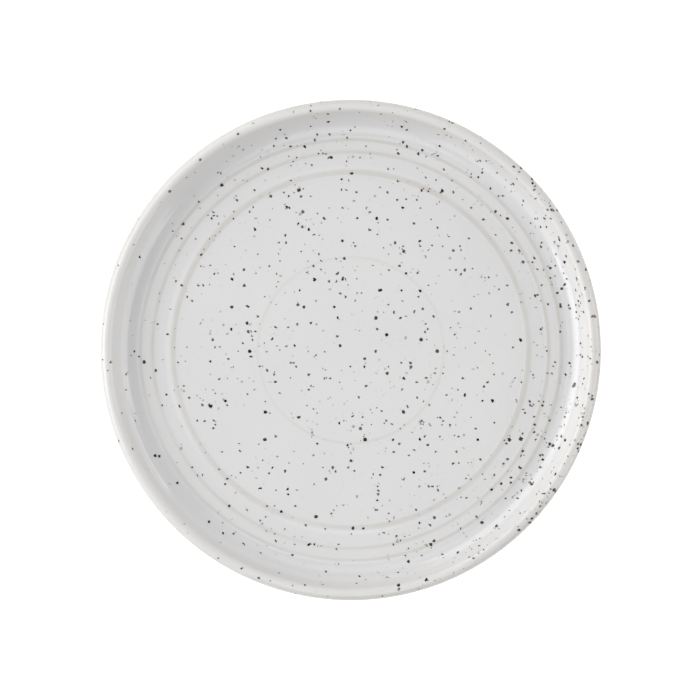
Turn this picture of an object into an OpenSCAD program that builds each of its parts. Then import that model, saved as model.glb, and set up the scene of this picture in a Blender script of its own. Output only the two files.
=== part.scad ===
// Coupe dinner plate: a thrown stoneware body with a flat well, throwing rings, a short
// upright wall, a rounded rim and a turned foot ring, under three coats of glaze.
// The plate stands on z = 0 with its axis on Z. Lengths are in millimetres.

/* [Plate] */
// Diameter across the rim
plate_d = 270; // [250:1:300]
// Height from the foot to the top of the rim
plate_h = 21; // [18:0.5:26]
// Thickness of the base, with its glaze
base_t = 6; // [5:0.1:7]

/* [Wall] */
// Slope of the inner wall, in degrees from level
inner_slope = 66; // [58:1:72]
// Height of the straight part of the inner wall, between the hollow curve and the rim
inner_straight_h = 3.5; // [2:0.1:5]
// Slope of the outer wall, in degrees from level
outer_slope = 64; // [58:1:72]
// Height of the straight part of the outer wall, between the rim and the round curve
outer_straight_h = 3.3; // [2:0.1:5]

/* [Rim] */
// Rounding of the rim inside its crest
rim_inner_r = 3; // [2:0.1:4]
// Rounding of the rim outside its crest
rim_outer_r = 3.9; // [3:0.1:5]

/* [Throwing rings] */
// Diameter of the faint ring in the middle of the well
centre_ring_d = 101; // [80:1:130]
// Width of the faint ring
centre_ring_w = 3.6; // [2:0.1:6]
// Height of the faint ring
centre_ring_h = 0.04; // [0.02:0.01:0.2]
// Distance of the first ring's crest in from the edge of the well
first_ring_in = 20; // [17:0.5:24]
// Height of the first ring
first_ring_h = 0.16; // [0.1:0.01:0.4]
// Width of the outer side of the first ring, where it falls back to the well
first_fall_w = 5.2; // [3:0.1:5.6]
// Distance of the second ring's top in from the edge of the well
second_ring_in = 8.6; // [7:0.1:9.8]
// Height of the second ring, a step up towards the wall
second_ring_h = 0.2; // [0.1:0.01:0.4]
// Width of the inner side of the first and the second ring
ring_rise_w = 2.7; // [1.5:0.1:3.4]
// Rise of the gentle slope from the second ring to the third
collar_h = 0.12; // [0:0.02:0.3]
// Distance of the third ring's crest in from the edge of the well
third_ring_in = 1.9; // [0.8:0.1:2.5]
// Height of the third ring
third_ring_h = 0.14; // [0.1:0.01:0.4]
// Width of the inner side of the third ring
third_rise_w = 2.2; // [1.5:0.1:3]
// Fall from the third ring's crest to the edge of the well
third_fall_h = 0.08; // [0.04:0.01:0.1]

/* [Foot ring] */
// Distance of the foot ring's outer side in from the rim
foot_in = 42; // [34:1:58]
// Width of the foot ring
foot_w = 6; // [4:0.5:9]
// Height of the foot ring below the base
foot_h = 2.5; // [2.2:0.1:4]
// Radius of the hollow corner where the foot ring meets the base
foot_corner_r = 1; // [0.5:0.1:1.4]
// Rounding of the foot ring's two lower edges
foot_edge_r = 0.6; // [0.2:0.1:0.8]

/* [Glaze] */
// Thickness of the glaze
glaze_t = 0.4; // [0.2:0.05:0.6]
// Height of the bare clay between the foot's face and the glaze
bare_h = 0.9; // [0.8:0.1:1.3]

/* [Hidden] */

clay_colour = [0.80, 0.74, 0.65];
glaze_colour = [0.87, 0.87, 0.86];

// Straight pieces that stand for each curve of the profile
curve_steps = 12;
ring_steps = 8;
$fn = 180;

// The crest of the rim, the level of the well and the level of its edge, outside the rings
crest_r = plate_d / 2 - rim_outer_r;
floor_z = foot_h + base_t;
second_ring_z = floor_z + second_ring_h;
third_ring_z = second_ring_z + collar_h + third_ring_h;
edge_z = third_ring_z - third_fall_h;

// Where the straight flanks of the wall leave the rim
inner_flank = [crest_r - rim_inner_r * sin(inner_slope), plate_h - rim_inner_r * (1 - cos(inner_slope))];
outer_flank = [crest_r + rim_outer_r * sin(outer_slope), plate_h - rim_outer_r * (1 + cos(outer_slope))];

// The hollow curve from the well and the round curve under the base fill the height below the flanks
well_curve_r = (inner_flank.y - inner_straight_h - edge_z) / (1 - cos(inner_slope));
base_curve_r = (outer_flank.y - outer_straight_h - foot_h) / (1 - cos(outer_slope));

// Where the edge of the well and the flat underside end, found by running the flanks down to them
well_r = inner_flank.x - (inner_flank.y - edge_z) / tan(inner_slope) - well_curve_r * tan(inner_slope / 2);
base_r = outer_flank.x - (outer_flank.y - foot_h) / tan(outer_slope) - base_curve_r * tan(outer_slope / 2);

// The two sides of the foot ring
foot_outer_r = plate_d / 2 - foot_in;
foot_inner_r = foot_outer_r - foot_w;

// The crests of the four rings
centre_ring_r = centre_ring_d / 2;
first_ring_r = well_r - first_ring_in;
second_ring_r = well_r - second_ring_in;
third_ring_r = well_r - third_ring_in;

// Points of a path run from the middle of the well over the rim and back under the base.
// Every path takes a depth below the finished surface: 0 is the glaze, glaze_t the clay.
function arc(centre, r, from, to) =
    [for (i = [0:curve_steps]) let (a = from + (to - from) * i / curve_steps) centre + r * [cos(a), sin(a)]];

function reversed(path) = [for (i = [len(path) - 1:-1:0]) path[i]];

function without_first(path) = [for (i = [1:len(path) - 1]) path[i]];

// The side of a ring, from one point to the next as half a wave of a cosine
function ring_side(from, to) =
    [for (i = [0:ring_steps]) let (t = i / ring_steps, lift = (1 - cos(180 * t)) / 2)
        [from.x + (to.x - from.x) * t, from.y + (to.y - from.y) * lift]];

// A ring that rises from the well to its crest and falls back to it
function ridge(r, rise_w, fall_w, h) = concat(
    ring_side([r - rise_w, floor_z], [r, floor_z + h]),
    without_first(ring_side([r, floor_z + h], [r + fall_w, floor_z])));

function rings_path() = concat(
    ridge(centre_ring_r, centre_ring_w / 2, centre_ring_w / 2, centre_ring_h),
    ridge(first_ring_r, ring_rise_w, first_fall_w, first_ring_h),
    ring_side([second_ring_r - ring_rise_w, floor_z], [second_ring_r, second_ring_z]),
    ring_side([third_ring_r - third_rise_w, second_ring_z + collar_h], [third_ring_r, third_ring_z]),
    without_first(ring_side([third_ring_r, third_ring_z], [well_r, edge_z])));

function well_path(depth) = [for (point = concat([[0, floor_z]], rings_path())) point - [0, depth]];

function face_path(depth) = concat(
    well_path(depth),
    without_first(arc([well_r, edge_z + well_curve_r], well_curve_r + depth, -90, inner_slope - 90)),
    arc([crest_r, plate_h - rim_inner_r], rim_inner_r - depth, inner_slope + 90, 90));

function outer_path(depth) = concat(
    arc([crest_r, plate_h - rim_outer_r], rim_outer_r - depth, 90, outer_slope - 90),
    arc([base_r, foot_h + base_curve_r], base_curve_r - depth, outer_slope - 90, -90),
    arc([foot_outer_r + foot_corner_r, foot_h - foot_corner_r], foot_corner_r + depth, 90, 180),
    [[foot_outer_r - depth, bare_h]]);

function foot_path() = concat(
    arc([foot_outer_r - glaze_t - foot_edge_r, foot_edge_r], foot_edge_r, 0, -90),
    arc([foot_inner_r + glaze_t + foot_edge_r, foot_edge_r], foot_edge_r, -90, -180));

function base_path(depth) = concat(
    [[foot_inner_r + depth, bare_h]],
    arc([foot_inner_r - foot_corner_r, foot_h - foot_corner_r], foot_corner_r + depth, 0, 90),
    [[0, foot_h + depth]]);

// One coat of glaze between its finished surface and the clay below
module coat(surface, clay) {
    color(glaze_colour) rotate_extrude() polygon(concat(surface, reversed(clay)));
}

module clay_body() {
    color(clay_colour) rotate_extrude() polygon(concat(
        face_path(glaze_t),
        without_first(outer_path(glaze_t)),
        foot_path(),
        base_path(glaze_t)));
}

module face_glaze() {
    coat(face_path(0), face_path(glaze_t));
}

module outer_glaze() {
    coat(outer_path(0), outer_path(glaze_t));
}

module base_glaze() {
    coat(base_path(0), base_path(glaze_t));
}

clay_body();
face_glaze();
outer_glaze();
base_glaze();
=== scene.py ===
"""A speckled stoneware coupe plate, seen from straight above under soft studio light."""
import math

import bpy
import numpy as np
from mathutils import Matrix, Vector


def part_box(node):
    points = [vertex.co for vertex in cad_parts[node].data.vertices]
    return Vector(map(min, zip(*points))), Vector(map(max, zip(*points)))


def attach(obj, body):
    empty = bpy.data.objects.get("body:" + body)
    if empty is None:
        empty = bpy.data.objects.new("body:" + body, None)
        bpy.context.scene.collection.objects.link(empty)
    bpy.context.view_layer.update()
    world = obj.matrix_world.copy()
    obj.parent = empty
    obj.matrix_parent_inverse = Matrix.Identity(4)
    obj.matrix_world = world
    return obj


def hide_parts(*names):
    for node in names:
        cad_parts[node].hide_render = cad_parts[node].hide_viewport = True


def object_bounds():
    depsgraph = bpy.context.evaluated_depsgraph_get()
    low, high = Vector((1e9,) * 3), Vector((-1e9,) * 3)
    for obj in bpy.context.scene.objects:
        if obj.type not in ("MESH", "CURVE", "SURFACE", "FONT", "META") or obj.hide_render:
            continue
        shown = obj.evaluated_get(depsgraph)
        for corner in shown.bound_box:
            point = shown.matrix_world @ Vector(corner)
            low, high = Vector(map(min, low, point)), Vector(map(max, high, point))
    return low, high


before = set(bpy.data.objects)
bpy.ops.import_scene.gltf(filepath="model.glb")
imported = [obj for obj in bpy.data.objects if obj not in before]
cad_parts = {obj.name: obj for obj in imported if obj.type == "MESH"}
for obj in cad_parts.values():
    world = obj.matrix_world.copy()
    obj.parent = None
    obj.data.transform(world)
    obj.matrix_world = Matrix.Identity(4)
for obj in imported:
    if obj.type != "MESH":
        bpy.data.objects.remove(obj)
cad_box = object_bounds()
bpy.ops.object.select_all(action="DESELECT")

# Sizes are in metres. The plate's own sizes come from the frame.
rim_r = (cad_box[1][0] - cad_box[0][0]) / 2
plate_h = cad_box[1][2]
crest_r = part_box("face_glaze")[1].x
glaze_line_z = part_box("base_glaze")[0].z
foot_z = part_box("base_glaze")[1].z

# Turning the outlines into solids
TURN_STEPS = 360
MERGE_DISTANCE = 1e-6
HEIGHT_DIGITS = 6
STRAIGHT_LIMIT = math.radians(0.2)
FLAT_WELL_R = 0.085
LONGEST_FLAT_EDGE = 0.005
LONGEST_RING_EDGE = 0.0012
SMOOTH_ANGLE = math.radians(40)

# The slight unevenness of a thrown plate, which fades out towards the foot
WOBBLE_SIZE = 0.06
WOBBLE_DEPTH = 0.0003

# Glaze runs thin over convex edges and pools in hollows; hollows also get painted shade. Curvatures are
# per metre.
THIN_CURVATURE = 28.0
POOL_AND_SHADE_CURVATURE = 80.0
FLOW_WIDTH = 0.0009

# How far convex edges thin the glaze: partly on the ring in the middle, almost fully on the others, little
# on the wall and the inner lip, and almost fully on the outer edge. Distances are inwards from the rim.
THIN_AT = (0.0700, 0.0387, 0.0273, 0.0185, 0.0155, 0.0023, 0.0008)
THIN_SHARE = (0.65, 0.9, 1.0, 0.85, 0.2, 0.2, 0.9)

# The flat bake maps, in a square with sides of 1: the middle and the edge of the seen side, a small disc
# in a corner for the unseen side, the radii of the outer coat's foot and unseen side, and the bare clay's
MAP_MIDDLE = 0.5
MAP_EDGE = 0.49
MAP_CORNER = 0.07
MAP_CORNER_EDGE = 0.065
MAP_OUTER_FOOT = 0.26
MAP_OUTER_UNSEEN = 0.22
MAP_BARE_CLAY = (0.30, 0.46)

# The photograph's frame
PHOTO_PX = 700
PLATE_CENTRE_PX = (350.6, 350.0)
RIM_RADIUS_PX = 250.3
SENSOR_MM = 36.0
LENS_MM = 135.0


def select_only(piece):
    bpy.ops.object.select_all(action="DESELECT")
    piece.select_set(True)
    bpy.context.view_layer.objects.active = piece


def select_long_edges(mesh, longest):
    """Selects the edges that are too long, and says whether there are any. The flat well allows more."""
    bpy.ops.mesh.select_all(action="DESELECT")
    bpy.ops.object.mode_set(mode="OBJECT")
    found = False
    for edge in mesh.edges:
        start, end = (mesh.vertices[i].co for i in edge.vertices)
        limit = LONGEST_FLAT_EDGE if min(start.x, end.x) < FLAT_WELL_R else longest
        edge.select = (end - start).length > limit
        found = found or edge.select
    bpy.ops.object.mode_set(mode="EDIT")
    return found


def section_of(node, name, longest=LONGEST_RING_EDGE):
    """A new piece that holds the outline of a CAD solid in the half plane y = 0, x >= 0."""
    piece = bpy.data.objects.new(name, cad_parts[node].data.copy())
    bpy.context.collection.objects.link(piece)
    select_only(piece)
    bpy.ops.object.mode_set(mode="EDIT")
    bpy.ops.mesh.select_mode(type="EDGE")
    bpy.ops.mesh.select_all(action="SELECT")
    bpy.ops.mesh.remove_doubles(threshold=MERGE_DISTANCE)
    bpy.ops.mesh.bisect(plane_co=(0, 0, 0), plane_no=(1, 0, 0), clear_inner=True)
    bpy.ops.mesh.select_all(action="SELECT")
    bpy.ops.mesh.bisect(plane_co=(0, 0, 0), plane_no=(0, 1, 0), clear_inner=True, clear_outer=True)
    bpy.ops.mesh.select_all(action="SELECT")
    bpy.ops.mesh.remove_doubles(threshold=MERGE_DISTANCE)
    bpy.ops.mesh.dissolve_limited(angle_limit=STRAIGHT_LIMIT)
    while select_long_edges(piece.data, longest):
        bpy.ops.mesh.subdivide(number_cuts=1)
    bpy.ops.object.mode_set(mode="OBJECT")
    piece.data.materials.clear()
    return piece


def outline_order(mesh, start):
    """The points of a section in order along its outline, outwards from a starting point."""
    near = [[] for point in mesh.vertices]
    for edge in mesh.edges:
        a, b = edge.vertices
        near[a].append(b)
        near[b].append(a)
    order = [start]
    ahead = max(near[start], key=lambda i: mesh.vertices[i].co.x)
    while ahead is not None and ahead != start:
        order.append(ahead)
        onward = [i for i in near[ahead] if i != order[-2]]
        ahead = onward[0] if onward else None
    return order


def distances_along(points):
    steps = np.linalg.norm(np.diff(points, axis=0), axis=1)
    return np.concatenate([[0.0], np.cumsum(steps)])


def outward_curvature(points, along, turning):
    """How sharply the glaze bulges at each point, per metre, spread by the flow of the glaze."""
    headings = np.unwrap(np.arctan2(*np.diff(points, axis=0).T[::-1]))
    bends = np.diff(headings) * turning
    spans = (along[2:] - along[:-2]) / 2
    bends = np.concatenate([bends[:1], bends, bends[-1:]])
    spans = np.concatenate([spans[:1], spans, spans[-1:]])
    apart = along[:, None] - along[None, :]
    reach = np.exp(-0.5 * (apart / FLOW_WIDTH) ** 2)
    return (reach @ bends) / (reach @ spans)


def set_values(mesh, name, values):
    layer = mesh.attributes.new(name, "FLOAT", "POINT")
    layer.data.foreach_set("value", np.asarray(values, dtype=np.float32))


def describe_section(piece, order, seen_count):
    """Stores how far along the outline each point lies, what is seen, and how the glaze lies."""
    mesh = piece.data
    points = np.array([(mesh.vertices[i].co.x, mesh.vertices[i].co.z) for i in order])
    x, z = points.T
    turning = np.sign(np.sum(x * np.roll(z, -1) - np.roll(x, -1) * z))
    along = np.zeros(len(order))
    along[:seen_count] = distances_along(points[:seen_count])
    along[seen_count:] = distances_along(points[:seen_count - 2:-1])[-2::-1]
    bulge = np.zeros(len(order))
    bulge[:seen_count] = outward_curvature(points[:seen_count], along[:seen_count], turning)
    by_point = np.argsort(order)
    set_values(mesh, "along", along[by_point])
    set_values(mesh, "seen", (np.arange(len(order)) < seen_count)[by_point])
    thin = np.clip(bulge / THIN_CURVATURE, 0, 1) * np.interp(x, rim_r - np.array(THIN_AT), THIN_SHARE)
    rise = np.diff(z, append=z[-1:]) ** 2
    steep = rise / np.maximum(rise + np.diff(x, append=x[-1:]) ** 2, MERGE_DISTANCE**2)
    set_values(mesh, "glaze_steep", steep[by_point])
    set_values(mesh, "glaze_thin", thin[by_point])
    # Hollows are marked for darker, bluer glaze: partly pooled glaze, partly painted shade
    set_values(mesh, "glaze_pool_and_shade", np.clip(-bulge / POOL_AND_SHADE_CURVATURE, 0, 1)[by_point])
    return along


def above_foot(piece):
    """Marks how far each point may stray from the true form: not at all on the foot, wholly at the rim."""
    group = piece.vertex_groups.new(name="above_foot")
    for point in piece.data.vertices:
        share = min(max((point.co.z - foot_z) / (plate_h - foot_z), 0.0), 1.0)
        group.add([point.index], share, "REPLACE")


def turn_whole(piece):
    """Turns a section once round the plate's axis into a closed solid."""
    select_only(piece)
    bpy.ops.object.modifier_add(type="SCREW")
    turn = piece.modifiers[-1]
    turn.axis = "Z"
    turn.angle = math.tau
    turn.steps = TURN_STEPS
    turn.render_steps = TURN_STEPS
    bpy.ops.object.modifier_apply(modifier=turn.name)
    bpy.ops.object.mode_set(mode="EDIT")
    bpy.ops.mesh.select_all(action="SELECT")
    bpy.ops.mesh.remove_doubles(threshold=MERGE_DISTANCE)
    bpy.ops.mesh.normals_make_consistent(inside=False)
    bpy.ops.object.mode_set(mode="OBJECT")


wobble_clouds = bpy.data.textures.new("throwing_wobble", "CLOUDS")
wobble_clouds.noise_scale = WOBBLE_SIZE
wobble_clouds.noise_depth = 1


def wobble(piece):
    """Lowers the surface here and there, alike on every piece, so that the coats stay on the clay."""
    select_only(piece)
    bpy.ops.object.modifier_add(type="DISPLACE")
    sag = piece.modifiers[-1]
    sag.texture = wobble_clouds
    sag.texture_coords = "LOCAL"
    sag.direction = "Z"
    sag.mid_level = 1.0
    sag.strength = WOBBLE_DEPTH
    sag.vertex_group = "above_foot"
    bpy.ops.object.modifier_apply(modifier=sag.name)
    bpy.ops.object.shade_smooth_by_angle(angle=SMOOTH_ANGLE)


def flat_map(piece, marks, radii, unseen_centre=MAP_MIDDLE, unseen_edge=0.0):
    """Lays the piece out flat for its baked pictures, with given radii at some marks along its outline.

    The unseen side becomes a disc of its own."""
    mesh = piece.data
    corner_points = np.zeros(len(mesh.loops), dtype=np.int32)
    mesh.loops.foreach_get("vertex_index", corner_points)
    places = np.zeros(len(mesh.vertices) * 3, dtype=np.float32)
    mesh.vertices.foreach_get("co", places)
    x, y = places.reshape(-1, 3)[:, :2].T
    turn = np.arctan2(y, x)
    along = np.zeros(len(mesh.vertices), dtype=np.float32)
    mesh.attributes["along"].data.foreach_get("value", along)
    seen = np.zeros(len(mesh.vertices), dtype=np.float32)
    mesh.attributes["seen"].data.foreach_get("value", seen)
    is_seen = seen > 0.5
    corner_counts = np.array([face.loop_total for face in mesh.polygons])
    face_starts = np.concatenate([[0], np.cumsum(corner_counts)[:-1]])
    face_seen = np.minimum.reduceat(is_seen[corner_points].astype(int), face_starts) == 1
    corner_seen = np.repeat(face_seen, corner_counts)
    seen_r = np.interp(along, marks, radii)
    unseen_r = unseen_edge * along / along.max()
    r = np.where(corner_seen, seen_r[corner_points], unseen_r[corner_points])
    middle = np.where(corner_seen, MAP_MIDDLE, unseen_centre)
    u = middle + r * np.cos(turn[corner_points])
    v = middle + r * np.sin(turn[corner_points])
    layer = mesh.uv_layers.new(name="OFBake")
    layer.data.foreach_set("uv", np.column_stack([u, v]).astype(np.float32).ravel())


def axis_point(mesh, pick):
    """The outline's end on the plate's axis that lies highest or lowest."""
    on_axis = [point for point in mesh.vertices if point.co.x < MERGE_DISTANCE]
    return pick(on_axis, key=lambda point: point.co.z).index


def crest_point(mesh):
    return max(mesh.vertices, key=lambda point: point.co.z).index


def count_to(mesh, order, pick):
    """How many points of an outline come up to its first highest or lowest one."""
    heights = [round(mesh.vertices[i].co.z, HEIGHT_DIGITS) for i in order]
    return heights.index(pick(heights)) + 1


def finish_solid(piece, order, seen_count):
    """Turns a section into its finished solid, and gives the distances along its outline."""
    along = describe_section(piece, order, seen_count)
    above_foot(piece)
    turn_whole(piece)
    wobble(piece)
    return along


# The glaze on the eating side, from the middle of the well to the crest of the rim
face_coat = section_of("face_glaze", "face_coat")
face_order = outline_order(face_coat.data, axis_point(face_coat.data, max))
along = finish_solid(face_coat, face_order, count_to(face_coat.data, face_order, max))
flat_map(face_coat, (0, along.max()), (0, MAP_EDGE), MAP_CORNER, MAP_CORNER_EDGE)

# The glaze over the outside, from the crest of the rim down to the foot
outer_coat = section_of("outer_glaze", "outer_coat")
outer_order = outline_order(outer_coat.data, crest_point(outer_coat.data))
along = finish_solid(outer_coat, outer_order, count_to(outer_coat.data, outer_order, min))
flat_map(outer_coat, (0, along.max()), (MAP_EDGE, MAP_OUTER_FOOT), MAP_MIDDLE, MAP_OUTER_UNSEEN)

# The glaze inside the foot ring
base_coat = section_of("base_glaze", "base_coat")
base_order = outline_order(base_coat.data, axis_point(base_coat.data, min))
along = finish_solid(base_coat, base_order, count_to(base_coat.data, base_order, min))
flat_map(base_coat, (0, along.max()), (0, MAP_EDGE), MAP_CORNER, MAP_CORNER_EDGE)

# The thrown clay, seen only on the bare foot ring
thrown_body = section_of("clay_body", "thrown_body", LONGEST_FLAT_EDGE)
body_order = outline_order(thrown_body.data, axis_point(thrown_body.data, max))
heights = [thrown_body.data.vertices[i].co.z for i in body_order]
bare = [i for i, z in enumerate(heights) if z < glaze_line_z + MERGE_DISTANCE]
along = finish_solid(thrown_body, body_order, len(body_order))
flat_map(thrown_body, (0, along[bare[0]], along[bare[-1]], along[-1]), (0, *MAP_BARE_CLAY, MAP_EDGE))


def add_node(tree, kind, values=None, **options):
    """Adds a shader node with its options, and sets or links its inputs."""
    made = tree.nodes.new("ShaderNode" + kind)
    for option, value in options.items():
        setattr(made, option, value)
    for socket, value in (values or {}).items():
        if isinstance(value, bpy.types.NodeSocket):
            tree.links.new(value, made.inputs[socket])
        else:
            made.inputs[socket].default_value = value
    return made


def calc(tree, operation, *values, clamp=False):
    """The result of one Math node."""
    made = add_node(tree, "Math", dict(enumerate(values)), operation=operation, use_clamp=clamp)
    return made.outputs["Value"]


def tint(tree, share, under, over, mode="MIX"):
    """The result of laying one colour over another, as far as a share says."""
    # Sockets by number, because the Mix node's inputs for numbers and for colours share their names
    values = {0: share, 6: under, 7: over}
    return add_node(tree, "Mix", values, data_type="RGBA", blend_type=mode).outputs[2]


def spread(tree, value, low, high):
    """A value from 0 to 1 spread over another range."""
    made = add_node(tree, "MapRange", {"Value": value, "To Min": low, "To Max": high})
    return made.outputs["Result"]


def noise(tree, place, size, detail=2.0, roughness=0.5):
    """Soft noise from 0 to 1 with features of about this size."""
    values = {"Vector": place, "Scale": 1 / size, "Detail": detail, "Roughness": roughness}
    return add_node(tree, "TexNoise", values).outputs["Fac"]


def new_group(name, inputs, outputs):
    """An empty node group with float inputs, one place input and float outputs."""
    tree = bpy.data.node_groups.new(name, "ShaderNodeTree")
    tree.interface.new_socket("Place", in_out="INPUT", socket_type="NodeSocketVector")
    for socket, value in inputs.items():
        made = tree.interface.new_socket(socket, in_out="INPUT", socket_type="NodeSocketFloat")
        made.default_value = value
    for socket in outputs:
        tree.interface.new_socket(socket, in_out="OUTPUT", socket_type="NodeSocketFloat")
    return tree, tree.nodes.new("NodeGroupInput").outputs, tree.nodes.new("NodeGroupOutput").inputs


# Iron specks of four kinds, large, middling, faint and small: cell size, smallest and largest radius,
# share of the cells that hold a speck, soft edge, and how dark the faintest and the darkest speck are
SPECK_KINDS = (
    (0.0030, 0.00062, 0.00106, 0.050, 0.00012, 0.94, 1.0),
    (0.0021, 0.00050, 0.00088, 0.053, 0.00012, 0.78, 1.0),
    (0.0024, 0.00044, 0.00088, 0.032, 0.00040, 0.12, 0.50),
    (0.0016, 0.00028, 0.00050, 0.009, 0.00010, 0.45, 1.0),
)

# Their ragged outlines, as size and depth of the bays, and how far iron bleeds into the glaze round them
SPECK_RAGGED_SIZE = 0.0014
SPECK_RAGGED = 0.0014
SPECK_BLEED = 0.0011

# How the specks crowd: size of the crowds, and how strongly
SPECK_CROWDS = ((0.018, 3.0), (0.0045, 7.0))


def make_specks():
    """Specks of iron: how much one covers each point, and how much one bleeds into it."""
    tree, given, result = new_group("iron_specks", {"Density": 1.0}, ("Cover", "Bleed"))
    values = {"Vector": given["Place"], "Scale": 1 / SPECK_RAGGED_SIZE, "Detail": 1.0}
    stray = add_node(tree, "TexNoise", values).outputs["Color"]
    ragged = {0: stray, 1: [SPECK_RAGGED] * 3, 2: given["Place"]}
    place = add_node(tree, "VectorMath", ragged, operation="MULTIPLY_ADD").outputs["Vector"]
    density = given["Density"]
    for size, strength in SPECK_CROWDS:
        crowd = spread(tree, noise(tree, given["Place"], size), -strength / 2, strength / 2)
        density = calc(tree, "MULTIPLY", density, calc(tree, "EXPONENT", crowd))
    cover = 0.0
    bleed = 0.0
    for cell, smallest, largest, share, edge, faintest, darkest in SPECK_KINDS:
        cells = add_node(tree, "TexVoronoi", {"Vector": place, "Scale": 1 / cell})
        draws = add_node(tree, "SeparateColor", {"Color": cells.outputs["Color"]})
        away = calc(tree, "MULTIPLY", cells.outputs["Distance"], cell)
        inside = calc(tree, "SUBTRACT", spread(tree, draws.outputs["Red"], smallest, largest), away)
        held = calc(tree, "LESS_THAN", draws.outputs["Green"], calc(tree, "MULTIPLY", density, share))
        dark = calc(tree, "MULTIPLY", held, spread(tree, draws.outputs["Blue"], faintest, darkest))
        body = calc(tree, "MULTIPLY_ADD", inside, 1 / edge, 0.5, clamp=True)
        cover = calc(tree, "MAXIMUM", cover, calc(tree, "MULTIPLY", body, dark))
        halo = calc(tree, "MULTIPLY_ADD", inside, 1 / SPECK_BLEED, 1.0, clamp=True)
        bleed = calc(tree, "MAXIMUM", bleed, calc(tree, "MULTIPLY", halo, dark))
    tree.links.new(cover, result["Cover"])
    tree.links.new(bleed, result["Bleed"])
    return tree


# Waves of the fired surface: size across and height
WAVE_SIZES = ((0.011, 0.000022), (0.0042, 0.000004), (0.0009, 0.0000003))


def make_waves():
    """The slight waviness of a fired surface, as a height in metres."""
    tree, given, result = new_group("fired_waves", {}, ("Height",))
    height = 0.0
    for size, depth in WAVE_SIZES:
        height = calc(tree, "MULTIPLY_ADD", noise(tree, given["Place"], size), depth, height)
    tree.links.new(height, result["Height"])
    return tree


specks_group = make_specks()
waves_group = make_waves()

# Colours, as linear red, green and blue. The glaze's own colour lies between cool and warm, and is
# multiplied by the tints for breaks, pools (partly painted shade in hollows), steep places and bleeding
# iron.
GLAZE_COOL = (0.630, 0.630, 0.632, 1)
GLAZE_WARM = (0.670, 0.667, 0.664, 1)
GLAZE_BREAK = (0.880, 0.858, 0.826, 1)
# Darker, bluer glaze in hollows: partly real pooling, partly painted shade at the foot of the wall
GLAZE_POOL_AND_SHADE = (0.972, 0.976, 0.992, 1)
GLAZE_STEEP = (0.996, 0.976, 0.950, 1)
IRON_BLEED = (0.930, 0.880, 0.850, 1)
IRON = (0.009, 0.008, 0.008, 1)
RUST = (0.110, 0.040, 0.032, 1)
CLAY_LIGHT = (0.56, 0.47, 0.37, 1)
CLAY_DARK = (0.44, 0.36, 0.27, 1)

# More specks landed on one side than on the other, mostly near the rim, and fewer where the glaze is steep
SPECK_DRIFT = 1.5
DRIFT_NEAR_RIM = 5.0
SPECKS_LOST_ON_STEEP = 0.55

# How strongly iron bleeds into the glaze round a speck, and how much more where the glaze is thin
BLEED = 0.35
BLEED_ADDED_ON_THIN = 0.5

# Noise in the glaze, as size and detail, and the range that it is spread over: clouds of colour, breaks
# along a thin edge, stronger and weaker stretches of it, rusty specks among the black ones, and gloss
CLOUDS = (0.05, 3.0)
BREAKS = (0.012, 2.0)
BREAK_RANGE = (0.45, 1.55)
STRETCHES = (0.08, 2.0)
STRETCH_RANGE = (-0.3, 2.1)
RUSTY = (0.014, 2.0)
RUSTY_RANGE = (-5.0, 3.0)
GLOSS = (0.03, 2.0)
GLAZE_ROUGHNESS = (0.05, 0.11)
SPECK_ROUGHNESS_ADDED = 0.15

# Bare clay: its patches and its sand, as size, detail and roughness of their noise, how far the sand
# darkens it, how high the sand stands, how rough it is, and how dense its specks are
CLAY_PATCHES = (0.02, 4.0)
SAND = (0.0006, 3.0, 0.7)
SAND_SHADE = (0.0, 0.5)
SAND_HEIGHT = 0.00006
CLAY_ROUGHNESS = (0.75, 0.95)
CLAY_SPECKS = 1.2


def new_material(name):
    """A new material with its node tree, the piece's own coordinates and its shader."""
    made = bpy.data.materials.new(name)
    made.use_nodes = True
    place = add_node(made.node_tree, "TexCoord").outputs["Object"]
    return made, made.node_tree, place, made.node_tree.nodes["Principled BSDF"]


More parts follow.
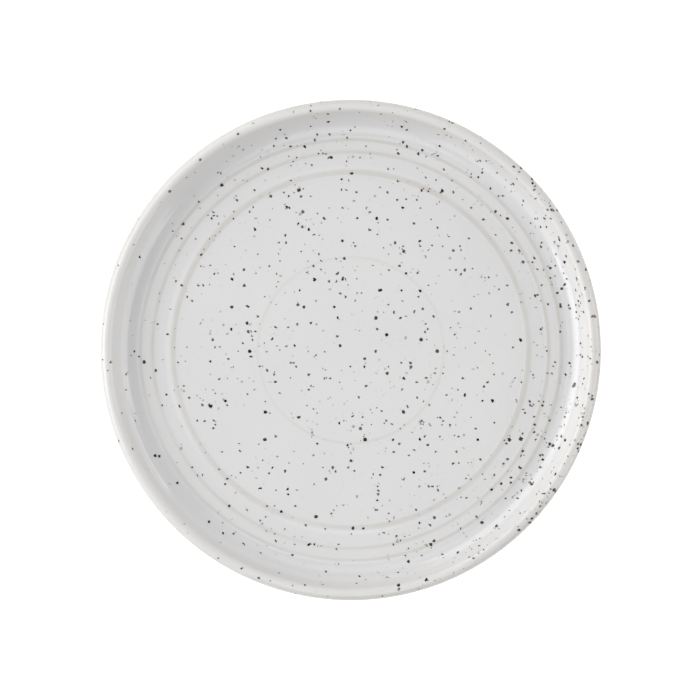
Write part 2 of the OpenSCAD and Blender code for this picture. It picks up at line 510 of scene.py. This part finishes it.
def make_glaze():
    """A glossy off-white glaze that breaks warm where it is thin, over iron specks."""
    made, tree, place, shader = new_material("speckled_glaze")
    thin = add_node(tree, "Attribute", attribute_name="glaze_thin").outputs["Fac"]
    pool_and_shade = add_node(tree, "Attribute", attribute_name="glaze_pool_and_shade").outputs["Fac"]
    steep = add_node(tree, "Attribute", attribute_name="glaze_steep").outputs["Fac"]
    across = add_node(tree, "SeparateXYZ", {"Vector": place}).outputs["X"]
    out = add_node(tree, "VectorMath", {0: place}, operation="LENGTH").outputs["Value"]
    near_rim = calc(tree, "POWER", calc(tree, "MULTIPLY", out, 1 / rim_r), DRIFT_NEAR_RIM)
    drift = calc(tree, "MULTIPLY", calc(tree, "MULTIPLY", across, near_rim), SPECK_DRIFT / rim_r)
    kept = calc(tree, "MULTIPLY_ADD", steep, -SPECKS_LOST_ON_STEEP, 1.0)
    density = calc(tree, "MULTIPLY", calc(tree, "EXPONENT", drift), kept)
    specks = add_node(tree, "Group", {"Place": place, "Density": density}, node_tree=specks_group)
    colour = tint(tree, noise(tree, place, *CLOUDS), GLAZE_COOL, GLAZE_WARM)
    # Darker, bluer glaze in hollows: partly pooled glaze, partly painted shade at the foot of the wall
    colour = tint(tree, pool_and_shade, colour, GLAZE_POOL_AND_SHADE, mode="MULTIPLY")
    colour = tint(tree, steep, colour, GLAZE_STEEP, mode="MULTIPLY")
    uneven = spread(tree, noise(tree, place, *BREAKS), *BREAK_RANGE)
    patchy = spread(tree, noise(tree, place, *STRETCHES), *STRETCH_RANGE)
    broken = calc(tree, "MULTIPLY", calc(tree, "MULTIPLY", thin, uneven), patchy, clamp=True)
    colour = tint(tree, broken, colour, GLAZE_BREAK, mode="MULTIPLY")
    strength = calc(tree, "MULTIPLY_ADD", thin, BLEED_ADDED_ON_THIN, BLEED)
    bleed = calc(tree, "MULTIPLY", specks.outputs["Bleed"], strength)
    colour = tint(tree, bleed, colour, IRON_BLEED, mode="MULTIPLY")
    rusty = spread(tree, noise(tree, place, *RUSTY), *RUSTY_RANGE)
    colour = tint(tree, specks.outputs["Cover"], colour, tint(tree, rusty, IRON, RUST))
    tree.links.new(colour, shader.inputs["Base Color"])
    roughness = spread(tree, noise(tree, place, *GLOSS), *GLAZE_ROUGHNESS)
    roughness = calc(tree, "MULTIPLY_ADD", specks.outputs["Cover"], SPECK_ROUGHNESS_ADDED, roughness)
    tree.links.new(roughness, shader.inputs["Roughness"])
    waves = add_node(tree, "Group", {"Place": place}, node_tree=waves_group)
    bump = add_node(tree, "Bump", {"Height": waves.outputs["Height"], "Strength": 1.0, "Distance": 1.0})
    tree.links.new(bump.outputs["Normal"], shader.inputs["Normal"])
    return made


def make_bare_clay():
    """Unglazed fired clay: fine sand, darker patches and a few specks."""
    made, tree, place, shader = new_material("bare_stoneware")
    colour = tint(tree, noise(tree, place, *CLAY_PATCHES), CLAY_LIGHT, CLAY_DARK)
    sand = noise(tree, place, *SAND)
    colour = tint(tree, spread(tree, sand, *SAND_SHADE), colour, CLAY_DARK)
    specks = add_node(tree, "Group", {"Place": place, "Density": CLAY_SPECKS}, node_tree=specks_group)
    colour = tint(tree, specks.outputs["Cover"], colour, IRON)
    tree.links.new(colour, shader.inputs["Base Color"])
    tree.links.new(spread(tree, sand, *CLAY_ROUGHNESS), shader.inputs["Roughness"])
    waves = add_node(tree, "Group", {"Place": place}, node_tree=waves_group)
    height = calc(tree, "MULTIPLY_ADD", sand, SAND_HEIGHT, waves.outputs["Height"])
    bump = add_node(tree, "Bump", {"Height": height, "Strength": 1.0, "Distance": 1.0})
    tree.links.new(bump.outputs["Normal"], shader.inputs["Normal"])
    return made


glaze = make_glaze()
bare_clay = make_bare_clay()
for piece, node, slot, finish in (
    (face_coat, "face_glaze", "speckled_glaze", glaze),
    (outer_coat, "outer_glaze", "speckled_glaze", glaze),
    (base_coat, "base_glaze", "speckled_glaze", glaze),
    (thrown_body, "clay_body", "stoneware", bare_clay),
):
    piece.data.materials.append(finish)
    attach(piece, "root")
    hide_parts(node)

# Floor: white to the camera and in reflections, and still shaded by the plate
FLOOR_SIZE = 6.0
FLOOR_COLOUR = (0.65, 0.65, 0.65, 1)
FLOOR_LIFT = 0.63
bpy.ops.mesh.primitive_plane_add(size=FLOOR_SIZE, location=(0, 0, 0))
floor = bpy.context.object
floor.name = "studio_floor"
white_floor = bpy.data.materials.new("white_floor")
white_floor.use_nodes = True
tree = white_floor.node_tree
shader = tree.nodes["Principled BSDF"]
shader.inputs["Base Color"].default_value = FLOOR_COLOUR
shader.inputs["Roughness"].default_value = 1.0
shader.inputs["Specular IOR Level"].default_value = 0.0
shader.inputs["Emission Color"].default_value = (1, 1, 1, 1)
ray = add_node(tree, "LightPath")
shown = calc(tree, "ADD", ray.outputs["Is Camera Ray"], ray.outputs["Is Glossy Ray"])
shown = calc(tree, "ADD", shown, ray.outputs["Is Transmission Ray"], clamp=True)
tree.links.new(calc(tree, "MULTIPLY", shown, FLOOR_LIFT), shader.inputs["Emission Strength"])
floor.data.materials.append(white_floor)

# Lamps: soft boxes that stand round the plate, as name, azimuth, lowest and highest elevation, half
# the width as an angle about the plate's axis, and radiance. Angles are in degrees.
WORLD_LIGHT = 0.27
LAMP_DISTANCE = 3.0
LAMP_WATTS = 4.0
SOFTBOXES = (
    ("left_window", 157, 20, 53, 45, 2.0),
    ("left_pane", 180, 14, 41, 26, 1.15),
    ("left_sill", 157, 8, 20, 45, 1.4),
    ("left_front", 225, 5, 44, 22, 1.15),
    ("right_card", 350, 20, 48, 26, 1.9),
    ("right_low", 0, 4, 20, 38, 1.9),
    ("back_low", 75, 4, 18, 42, 0.9),
    ("back_high", 90, 50, 80, 22, 0.65),
    ("front_high", 270, 46, 80, 22, 1.15),
    ("overhead", 180, 72, 82, 25, 0.7),
)
world = bpy.data.worlds.new("studio")
bpy.context.scene.world = world
world.use_nodes = True
background = world.node_tree.nodes["Background"]
background.inputs["Color"].default_value = (WORLD_LIGHT, WORLD_LIGHT, WORLD_LIGHT, 1)


def softbox(name, azimuth, lowest, highest, half_width, radiance):
    """A soft rectangular lamp that faces the plate. Its watts follow from its size and radiance."""
    turn = math.radians(azimuth)
    rise = math.radians((lowest + highest) / 2)
    level = LAMP_DISTANCE * math.cos(rise)
    width = 2 * level * math.tan(math.radians(half_width))
    height = 2 * LAMP_DISTANCE * math.tan(math.radians((highest - lowest) / 2))
    lamp = bpy.data.lights.new(name, "AREA")
    lamp.shape = "RECTANGLE"
    lamp.size = width
    lamp.size_y = height
    lamp.energy = radiance * LAMP_WATTS * width * height
    holder = bpy.data.objects.new(name, lamp)
    bpy.context.collection.objects.link(holder)
    holder.location = (level * math.cos(turn), level * math.sin(turn), LAMP_DISTANCE * math.sin(rise))
    holder.rotation_euler = holder.location.to_track_quat("Z", "Y").to_euler()
    holder.visible_camera = False


for box in SOFTBOXES:
    softbox(*box)

# Camera
camera = bpy.data.objects.new("camera", bpy.data.cameras.new("camera"))
bpy.context.collection.objects.link(camera)
bpy.context.scene.camera = camera
camera.data.sensor_width = SENSOR_MM
camera.data.lens = LENS_MM
rim_z = plate_h - (rim_r - crest_r)
metres_per_px = rim_r / RIM_RADIUS_PX
camera.location = (
    (PHOTO_PX / 2 - PLATE_CENTRE_PX[0]) * metres_per_px,
    (PLATE_CENTRE_PX[1] - PHOTO_PX / 2) * metres_per_px,
    rim_z + metres_per_px * PHOTO_PX * LENS_MM / SENSOR_MM,
)

bpy.context.scene.view_settings.view_transform = "Standard"
